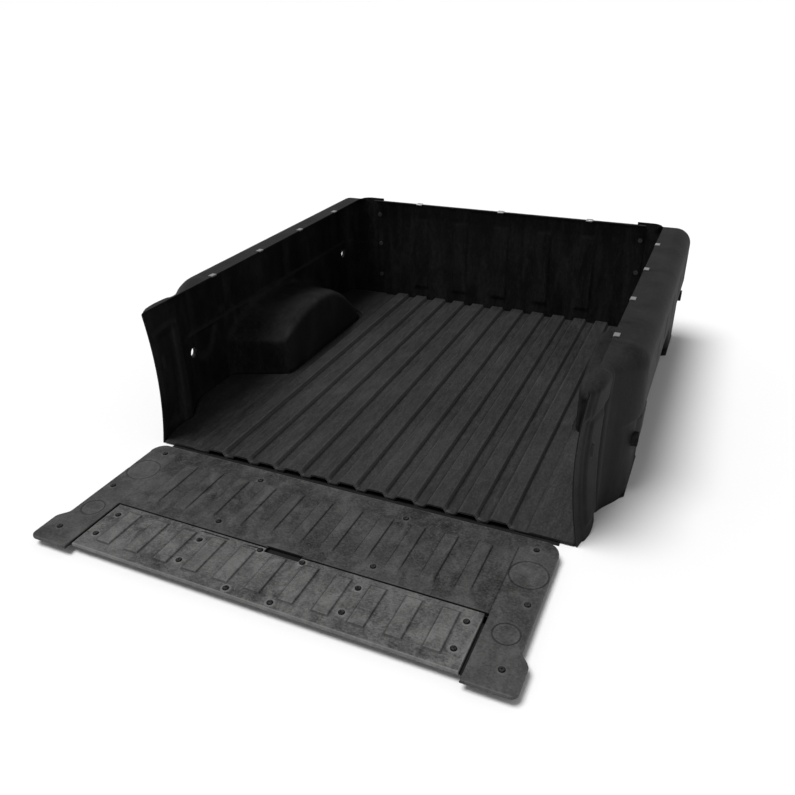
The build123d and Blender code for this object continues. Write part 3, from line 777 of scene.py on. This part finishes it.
def mat_grid():
    """Distances from the sill and X of the mat's grid, and X of its edge at each row."""
    coarse = 1
    ribs = np.concatenate([RIB_X[RIB_X > -1e-6] + step for step in MAT_COLUMN_STEPS])
    inner = spread((0.0, MAT_PLAIN, 0.022))
    columns = np.unique(np.round(np.concatenate([inner, ribs[(ribs > 0) & (ribs < MAT_PLAIN)]]), 5))
    outer = MAT_PLAIN + np.linspace(0, 1, 60) * MAT_MARGIN
    columns = mirrored(np.concatenate([columns[columns < MAT_PLAIN - 5e-4], outer]))
    rows = spread(
        (0, 0.004, 0.002), (0.004, 0.036, 0.008), (0.036, 0.56, 0.02 * coarse), (0.56, 0.72, 0.006),
        (0.72, 1.38, 0.02 * coarse), (1.38, 1.60, 0.008), (1.60, 1.756, 0.008),
    )
    d, column = np.meshgrid(rows, columns, indexing="ij")
    edge = np.interp(d, *zip(*MAT_OUTLINE))
    edge = np.where(d < 0.36, np.minimum(side_face(d, 0.012) - 0.004, edge + 0.022), edge)
    share = np.maximum(np.abs(column) - MAT_PLAIN, 0) / MAT_MARGIN
    fitted = MAT_PLAIN + share * (edge - MAT_PLAIN)
    x = np.sign(column) * np.where(np.abs(column) > MAT_PLAIN, fitted, np.abs(column))
    return d, x, edge


def floor_mat():
    """The ribbed mat, which flares at the ribs' open ends, with a border over the side flanges."""
    d, x, edge = mat_grid()
    rib = nearest_rib(x)
    mouth = ease((0.030 - d) / 0.026)
    raised = ease((0.036 + 0.011 * mouth - rib) / (0.008 + 0.014 * mouth))
    foot = stripe(rib, RIB_FOOT, 0.0014, 0.0012)
    border = ease((np.abs(x) - 0.648) / 0.007)
    line = stripe(np.abs(x), GROOVE_X, 0.0025, 0.0015) * (np.abs(x) > 0.6)
    unevenness = 0.0006 * wave_noise(x * 40, d * 9, 11) + 0.0004 * wave_noise(x * 90, d * 30, 12)
    top = MAT_THICK + MAT_RISE * raised + 0.0045 * border - 0.0012 * line - 0.0011 * foot + unevenness
    to_edge = edge - np.abs(x)
    top -= 0.004 * ease((0.006 - to_edge) / 0.006)
    under = (0.017 + 0.003 * mouth) * ease((0.032 + 0.012 * mouth - rib) / (0.012 + 0.006 * mouth))
    under += 0.0046 * ease((np.abs(x) - 0.626) / 0.005)
    y = SILL + d + 0.0012 * wave_noise(x * 14, 0, 15) * (d < 0.02) * (d > 0)
    grid_top = np.stack([x, y, top], -1)
    grid_under = np.stack([x, y, np.minimum(under, top - 0.003)], -1)
    keep = np.ones((d.shape[0] - 1, d.shape[1] - 1), bool)
    # painted shade: darker channels, the fine grooves at the ribs' feet and by the border, the ribs'
    # driver-side slopes and the cut end at the sill; lighter along the ribs' top edges, and a painted
    # highlight on their passenger-side slopes
    lip = stripe(rib, 0.027, 0.006, 0.006) * raised
    slope = np.clip(5 * raised * (1 - raised), 0, 1)
    lee = rib_side(x) > 0
    foot = np.maximum.reduce([foot, 0.9 * slope * ~lee, 1.8 * (d < 0.001)])
    values = {
        "raised": raised + 0.6 * border,
        "edge": np.maximum(0.5 * lip, slope * lee),
        "groove": np.maximum(0.55 * foot, 0.7 * line),
    }
    mesh = slab("mat_sheet", grid_top, grid_under, keep, values)
    add_hollow_shade_strip(mesh)
    piece = finish_mesh(mesh, RUBBER, "liner", ["floor_mat"], 50)


floor_mat()

# ---------------------------------------------------------------- tailgate panels

# in this section e is a distance behind the sill
GATE_TOP = 0.038
RIM = 0.012                # depth of the turned-down rims
SKIN = 0.006               # thickness of the sheets inside their rims
PAD_HALF = 0.027
GATE_PADS = (0.112, 0.363)         # a row of pads, with its soft ends
STOP_PADS = (0.432, 0.588)
GATE_BACK, GATE_END = behind_sill(gate_high.y), behind_sill(gate_low.y)
GATE_HALF = 0.768
GATE_FLARE = 0.027
GATE_BOW = 0.050           # radius of its corners at the sill
GATE_END_R = 0.022         # radius of its corners at the far end
GATE_PIN = 0.690           # columns outside this are fitted to the panel's edge
NOTCH_HALF, NOTCH_EDGE = 0.648, 0.406
ARM_STEP = 0.6465          # where the arms step down from the middle
STOP_HALF = round(stop_high.x, 4)
STOP_INNER, STOP_OUTER = behind_sill(stop_high.y), behind_sill(stop_low.y)
STOP_SLOTS = [(-0.300, -0.190), (-0.130, -0.070)]
STOP_SLOT_E = 0.4205
HANDLE_HALF = 0.060
HANDLE_IN_GATE = 0.005
HANDLE_IN_STOP = 0.0165
GATE_SCREWS = [(0.700, 0.104), (0.276, 0.115), (0.276, 0.360), (0.736, 0.336), (0.736, 0.577)]
STOP_SCREWS = [
    (0.602, 0.459), (0.602, 0.560), (0.276, 0.459), (0.276, 0.560), (0.074, 0.605), (0.074, 0.427),
]
DISCS = [(0.707, 0.215, 0.058), (0.712, 0.457, 0.038)]     # X, e and radius
SEAT_DROP = 0.0012
SEAT_THICK = 0.002
SEAT_STRIPS = [((0.0, 0.414), (1.316, 0.044))]             # middle and size, as X and e
SEAT_STRIPS += [((side * 0.645, 0.5165), (0.030, 0.211)) for side in (-1, 1)]


def rounded_edge(distance, radius):
    """How far a rounded edge drops at a distance in from the outline."""
    into = np.clip(radius - distance, 0, radius)
    return radius - np.sqrt(radius**2 - into**2)


def screw_land(x, e, screws):
    """1 on the flat round each screw, and 1 on the wider place round it that carries a painted highlight.
    """
    near = np.min([np.hypot(np.abs(x) - sx, e - se) for sx, se in screws], axis=0)
    return ease((0.015 - near) / 0.004), ease((0.019 - near) / 0.005)


def gate_columns(outer):
    """Grid lines on one side: the given ones, and close ones at the pads' edges."""
    offsets = (-0.007, -0.0045, -0.003, -0.0015, 0, 0.002)
    pads = np.concatenate(
        [RIB_X[RIB_X > -1e-6] + side * (PAD_HALF + offset) for side in (-1, 1) for offset in offsets]
    )
    return np.concatenate([pads[pads > 0], outer])


def thinned(columns):
    """The columns without those that nearly touch the one before."""
    return columns[np.concatenate([[True], np.diff(columns) > 4e-4])]


def cell_middles(rows, columns):
    """The e and the distance from the centre line of the cells, rows from the far end."""
    mid_e = (rows[:-1] + rows[1:])[::-1] / 2
    mid_x = np.abs(columns[:-1] + columns[1:]) / 2
    return mid_e[:, None], mid_x[None]


def panel_grids(x, e, top, under):
    """The upper and lower grids of points, rows from the far end."""
    return [np.stack([x, SILL - e, height], -1)[::-1] for height in (top, under)]


def on_discs(x, e, shape):
    """The largest value over the discs of shape(radius, distance from the disc's middle)."""
    return np.max([shape(r, np.hypot(x - dx, e - de)) for dx, de, r in DISCS], axis=0)


def add_seat(mesh):
    """The main panel's narrow ledge under the edges of the load stop, its top painted near black as painted
    shade in the gap round the load stop.
    """
    bm = bmesh.new()
    bm.from_mesh(mesh)
    layer = bm.verts.layers.float["groove"]
    level = GATE_TOP - RIM - SEAT_DROP
    for (x, e), (width, length) in SEAT_STRIPS:
        place = Matrix.Translation((x, SILL - e, level)) @ Matrix.Diagonal((width, length, SEAT_THICK, 1))
        for vert in bmesh.ops.create_cube(bm, size=1.0, matrix=place)["verts"]:
            vert[layer] = float(vert.co.z > level)
    bm.to_mesh(mesh)
    bm.free()


def gate_grid():
    """The tailgate panel's rows and columns."""
    fine = 0.0026
    outer = spread(
        (0, 0.62, 0.012), (0.62, 0.640, 0.004), (0.640, 0.652, 0.001), (0.652, 0.758, fine),
        (0.758, GATE_HALF, 0.001),
    )
    columns = thinned(mirrored(np.round(gate_columns(outer), 4)))
    rows = spread(
        (GATE_BACK, 0.060, 0.001), (0.060, 0.112, 0.004), (0.112, 0.150, 0.0035),
        (0.150, 0.330, fine * 1.5), (0.330, 0.390, 0.0035), (0.390, 0.412, 0.001),
        (0.412, 0.636, fine * 1.2), (0.636, GATE_END, 0.001),
    )
    return rows, columns


def tailgate_panel():
    """The U-shaped panel: its middle with tapering pads, and two arms with disc recesses."""
    rows, columns = gate_grid()
    e, column = np.meshgrid(rows, columns, indexing="ij")
    # fit the outer columns to the flared sides with their round corners
    back = np.clip(GATE_BACK + GATE_BOW - e, 0, GATE_BOW)
    reach = GATE_HALF + GATE_FLARE * ease((e - 0.497) / 0.046) - GATE_BOW + np.sqrt(GATE_BOW**2 - back**2)
    end = np.clip(e - (GATE_END - GATE_END_R), 0, GATE_END_R)
    reach = reach - GATE_END_R + np.sqrt(GATE_END_R**2 - end**2)
    stretch = (reach - GATE_PIN) / (GATE_HALF - GATE_PIN)
    fitted = GATE_PIN + (np.abs(column) - GATE_PIN) * stretch
    x = np.sign(column) * np.where(np.abs(column) > GATE_PIN, fitted, np.abs(column))
    ax = np.abs(x)
    # distances in from the outline
    side_gap = (reach - ax) * np.where(back > 0, np.sqrt(1 - (back / (GATE_BOW + 1e-4)) ** 2) + 0.15, 1)
    notch = np.hypot(np.maximum(ax - NOTCH_HALF, 0), np.maximum(NOTCH_EDGE - e, 0))
    handle_edge = NOTCH_EDGE - HANDLE_IN_GATE
    handle = np.hypot(np.maximum(ax - HANDLE_HALF, 0), np.maximum(handle_edge - e, 0))
    distance = np.minimum.reduce([side_gap, e - GATE_BACK, GATE_END - e, notch, handle])
    # pads: rounded across, tapering into the sheet at their ends
    across = np.where(ax < RIB_X[-1] + 0.05, PAD_HALF - nearest_rib(x), -1)
    brink = ease(across / 0.008)
    pad = brink * ease((e - GATE_PADS[0]) / 0.030) * ease((GATE_PADS[1] - e) / 0.022)
    disc = on_discs(ax, e, lambda r, away: ease((r - away) / 0.006))
    ring = on_discs(ax, e, lambda r, away: stripe(away, r, 0.0034, 0.0024))
    land, halo = screw_land(x, e, GATE_SCREWS)
    arm = ease((ax - 0.6445) / 0.005) * ease((e - 0.100) / 0.010)
    sag = 0.0007 * wave_noise(x * 9, e * 13, 21)
    sunk = 0.0014 * disc + 0.0014 * ring + 0.0014 * arm * (1 - land)
    top = GATE_TOP + 0.0042 * pad - sunk + sag * (1 - land) - 0.0004
    top = top * (1 - land) + GATE_TOP * land
    top -= rounded_edge(distance, 0.0045)
    under = np.where(distance < 0.0045, GATE_TOP - RIM, GATE_TOP - SKIN)
    mid_e, mid_x = cell_middles(rows, columns)
    keep = ~((mid_e > NOTCH_EDGE) & (mid_x < NOTCH_HALF)) & ~((mid_e > handle_edge) & (mid_x < HANDLE_HALF))
    # what the material reads: painted shade in the arm step, on the pads' flanks (more on the passenger
    # side), in the disc rings and along the gap at the notch and handle edges
    step = stripe(ax, ARM_STEP, 0.004, 0.003) * ease((e - 0.10) / 0.01)
    lee = 0.72 + 0.10 * (rib_side(x) > 0)
    pad_edge = 4 * brink * (1 - brink) * ease((e - 0.122) / 0.03) * ease((0.350 - e) / 0.04) * lee
    hinge = ease((0.0030 - np.minimum(NOTCH_EDGE - e, handle)) / 0.0018) * (ax < NOTCH_HALF)
    rim_line = ease((0.008 - distance) / 0.006) * (notch > 0.012)
    disc_rim = on_discs(ax, e, lambda r, away: stripe(away, r - 0.006, 0.004, 0.003))
    # lighter along the outline, on the pads and on the arms, with painted highlights round the screws and
    # inside the discs' rims
    worn = [0.7 * rim_line, 0.36 * pad, 0.36 * arm, 0.6 * halo, 0.6 * disc_rim]
    values = {
        "groove": np.maximum.reduce([0.50 * step, pad_edge, 0.80 * ring, hinge])[::-1],
        "edge": np.maximum.reduce(worn)[::-1],
    }
    mesh = slab("tailgate_sheet", *panel_grids(x, e, top, under), keep, values)
    add_seat(mesh)
    piece = finish_mesh(mesh, GATE_SHEET, "tailgate", ["tailgate_panel"], 40)


def stop_grid():
    """The load-stop panel's rows and columns."""
    fine = 0.004
    outer = spread(
        (0, 0.056, 0.006), (0.056, 0.064, 0.001), (0.064, 0.6285, 0.010), (0.6285, STOP_HALF, 0.001)
    )
    columns = mirrored(np.round(gate_columns(outer), 4))
    columns = thinned(columns[np.abs(columns) <= STOP_HALF + 1e-6])
    rows = spread(
        (STOP_INNER, 0.432, 0.0012), (0.432, 0.440, 0.001), (0.440, 0.580, fine), (0.580, 0.592, 0.001),
        (0.592, 0.615, fine), (0.615, STOP_OUTER, 0.001),
    )
    return rows, columns


def load_stop_panel():
    """The panel in the U: square-ended pads, two short slots and the gap for the handle."""
    rows, columns = stop_grid()
    e, x = np.meshgrid(rows, columns, indexing="ij")
    ax = np.abs(x)
    handle_edge = STOP_INNER + HANDLE_IN_STOP
    handle = np.hypot(np.maximum(ax - HANDLE_HALF, 0), np.maximum(e - handle_edge, 0))
    distance = np.minimum.reduce([STOP_HALF - ax, e - STOP_INNER, STOP_OUTER - e, handle])
    inside = np.minimum.reduce([PAD_HALF - nearest_rib(x), e - STOP_PADS[0], STOP_PADS[1] - e])
    pad = ease(inside / 0.005)
    land, halo = screw_land(x, e, STOP_SCREWS)
    across_slot = stripe(e, STOP_SLOT_E, 0.003, 0.0014)
    slot = np.max([across_slot * between(x, a, b, 0.003) for a, b in STOP_SLOTS], axis=0)
    sag = 0.0005 * wave_noise(x * 12, e * 16, 31)
    top = GATE_TOP + 0.0040 * pad + (sag - 0.0003) * (1 - land) - 0.0022 * slot * (1 - land)
    top = np.where(land > 0.5, np.minimum(top, GATE_TOP), top)
    top -= rounded_edge(distance, 0.0035)
    under = np.where(distance < 0.0042, GATE_TOP - RIM, GATE_TOP - SKIN)
    mid_e, mid_x = cell_middles(rows, columns)
    keep = ~((mid_e < handle_edge) & (mid_x < HANDLE_HALF))
    # what the material reads: painted shade in the slots, round the pads and along the gap at the inner
    # edge and handle; lighter along the outline and on the pads, with painted highlights round the screws
    outline = stripe(inside, 0.0006, 0.0036, 0.0022)
    hinge = ease((0.0022 - np.minimum(e - STOP_INNER, handle)) / 0.0016)
    rim_line = 0.8 * ease((0.006 - distance) / 0.004) * (e > STOP_INNER + 0.02)
    values = {
        "groove": np.maximum.reduce([slot, 0.62 * outline, hinge])[::-1],
        "edge": np.maximum.reduce([rim_line, 0.32 * pad, 0.7 * halo])[::-1],
    }
    mesh = slab("load_stop_sheet", *panel_grids(x, e, top, under), keep, values)
    piece = finish_mesh(mesh, STOP_SHEET, "load_stop", ["load_stop_panel"], 40)


tailgate_panel()
load_stop_panel()

# ---------------------------------------------------------------- front panel

FRONT_FACE = 1.1947        # Y of its cargo side between the ribs
FRONT_FOOT = 0.001
FRONT_BEND = 0.024         # radius where its top turns in under the rail
FRONT_RIBS = np.arange(-2, 3) * 0.220
FRONT_RIB_HALF = 0.045
FRONT_RIB_MIDDLE, FRONT_RIB_REACH = 0.265, 0.195    # height of a rib's middle, half its length
FRONT_RIB_RISE = 0.006


def front_panel():
    """A ribbed sheet whose section runs up the bulkhead and turns in at the top."""
    rise = np.linspace(0, front_high.z - FRONT_BEND - FRONT_FOOT, 70)
    turn = np.linspace(0, math.pi / 2, 9)[1:]
    reach = np.linspace(0, FRONT_FACE - FRONT_BEND - front_low.y, 4)[1:]
    # the section's points, and which way is out of the sheet
    bend_y, bend_z = FRONT_FACE - FRONT_BEND, front_high.z - FRONT_BEND
    face_y = np.full_like(rise, FRONT_FACE)
    top_z = np.full_like(reach, front_high.z)
    ys = np.concatenate([face_y, bend_y + FRONT_BEND * np.cos(turn), bend_y - reach])
    zs = np.concatenate([FRONT_FOOT + rise, bend_z + FRONT_BEND * np.sin(turn), top_z])
    out_y = np.concatenate([np.ones_like(rise), np.cos(turn), np.zeros_like(reach)])
    out_z = np.concatenate([np.zeros_like(rise), np.sin(turn), np.ones_like(reach)])
    columns = mirrored(spread((0, front_high.x, 0.005)))
    y, x = np.meshgrid(ys, columns, indexing="ij")
    z = np.repeat(zs[:, None], len(columns), 1)
    from_rib = np.abs(x[..., None] - FRONT_RIBS).min(-1)
    inside = np.minimum(FRONT_RIB_HALF - from_rib, FRONT_RIB_REACH - np.abs(z - FRONT_RIB_MIDDLE))
    rib = ease(inside / 0.014)
    waves = 0.0012 * wave_noise(x * 9, z * 14, 41)
    sheet_y = y - (FRONT_RIB_RISE * rib + waves) * out_y[:, None]
    inner_grid = np.stack([x, sheet_y, z - SHEET * out_z[:, None]], -1)
    outer_grid = np.stack([x, sheet_y + SHEET * out_y[:, None], z], -1)
    keep = np.ones((len(ys) - 1, len(columns) - 1), bool)
    # painted shade along the flanks of the ribs
    values = {"groove": rib * (1 - rib), "edge": np.zeros_like(rib)}
    mesh = slab("front_sheet", inner_grid, outer_grid, keep, values)
    piece = finish_mesh(mesh, SHADED_WALL_SHEET, "liner", ["front_panel"], 40)


front_panel()

# ---------------------------------------------------------------- fittings kept from the CAD

FITTINGS = {
    "screws": SCREW_BLACK, "washers": WASHER_BLACK, "anchors": NYLON, "fastener": FASTENER_PLASTIC,
    "clips": CLIP_STEEL, "receptacles": NYLON,
}
for cad_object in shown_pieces():
    for word, finish in FITTINGS.items():
        if word in cad_object.name and cad_object.type == "MESH" and "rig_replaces" not in cad_object:
            cad_object.data.materials.clear()
            cad_object.data.materials.append(finish)

# ---------------------------------------------------------------- room, light and camera

FLOOR_RADIUS = 150.0
FLOOR_DROP = 0.0005
SUN_STRENGTH = 3.1
SUN_SOFTNESS = math.radians(30)
SUN_DIRECTION = (0.62, 0.42, -2.1)
# brightness of the sky by height
SKY_FADE = {"From Min": 0.01, "From Max": 0.50, "To Min": 1.0, "To Max": 0.30}
CAMERA_PLACE = (1.05193, -2.42342, 1.53253)
YAW, PITCH, ROLL = -0.42878, -0.50289, -0.02133
FOCAL_LENGTH, SENSOR_WIDTH = 33.716, 36.0       # mm


def studio():
    """A pale floor that runs to the horizon."""
    mesh = bpy.data.meshes.new("studio")
    bm = bmesh.new()
    bmesh.ops.create_circle(bm, cap_ends=True, segments=64, radius=FLOOR_RADIUS)
    bm.to_mesh(mesh)
    bm.free()
    paper = Finish("paper", 0.85, specular=0.2)
    paper.colour(paper.mix(grey(0.80), grey(0.82), paper.noise(2.0)))
    mesh.materials.append(paper.material)
    floor = bpy.data.objects.new("studio", mesh)
    bpy.context.scene.collection.objects.link(floor)
    floor.location.z = -FLOOR_DROP


def overhead_light():
    """A soft sun, nearly overhead, a little towards the driver's side and the tailgate."""
    sun = bpy.data.lights.new("overhead", "SUN")
    sun.energy = SUN_STRENGTH
    sun.angle = SUN_SOFTNESS
    lamp = bpy.data.objects.new("overhead", sun)
    bpy.context.scene.collection.objects.link(lamp)
    lamp.rotation_euler = Vector(SUN_DIRECTION).to_track_quat("-Z", "Y").to_euler()


def sky():
    """Soft light from all round, paler towards the horizon."""
    world = bpy.data.worlds.new("sky")
    world.use_nodes = True
    nodes, links = world.node_tree.nodes, world.node_tree.links
    split = nodes.new("ShaderNodeSeparateXYZ")
    fade = nodes.new("ShaderNodeMapRange")
    for key, number in SKY_FADE.items():
        fade.inputs[key].default_value = number
    links.new(nodes.new("ShaderNodeTexCoord").outputs["Generated"], split.inputs[0])
    links.new(split.outputs["Z"], fade.inputs["Value"])
    nodes["Background"].inputs["Color"].default_value = (1.0, 1.0, 1.0, 1.0)
    links.new(fade.outputs["Result"], nodes["Background"].inputs["Strength"])
    bpy.context.scene.world = world


def camera():
    """The camera, turned by yaw from +Y, pitch from the level and roll about its own axis."""
    forward = Vector((math.sin(YAW) * math.cos(PITCH), math.cos(YAW) * math.cos(PITCH), math.sin(PITCH)))
    across = Vector((math.cos(YAW), -math.sin(YAW), 0.0))
    upward = across.cross(forward)
    right = across * math.cos(ROLL) + upward * math.sin(ROLL)
    above = upward * math.cos(ROLL) - across * math.sin(ROLL)
    lens = bpy.data.cameras.new("camera")
    lens.sensor_width = SENSOR_WIDTH
    lens.lens = FOCAL_LENGTH
    lens.clip_end = 100
    eye = bpy.data.objects.new("camera", lens)
    bpy.context.scene.collection.objects.link(eye)
    turned = Matrix((right, above, -forward)).transposed().to_4x4()
    eye.matrix_world = Matrix.Translation(CAMERA_PLACE) @ turned
    bpy.context.scene.camera = eye


studio()
overhead_light()
sky()
camera()
bpy.context.scene.view_settings.view_transform = "Standard"
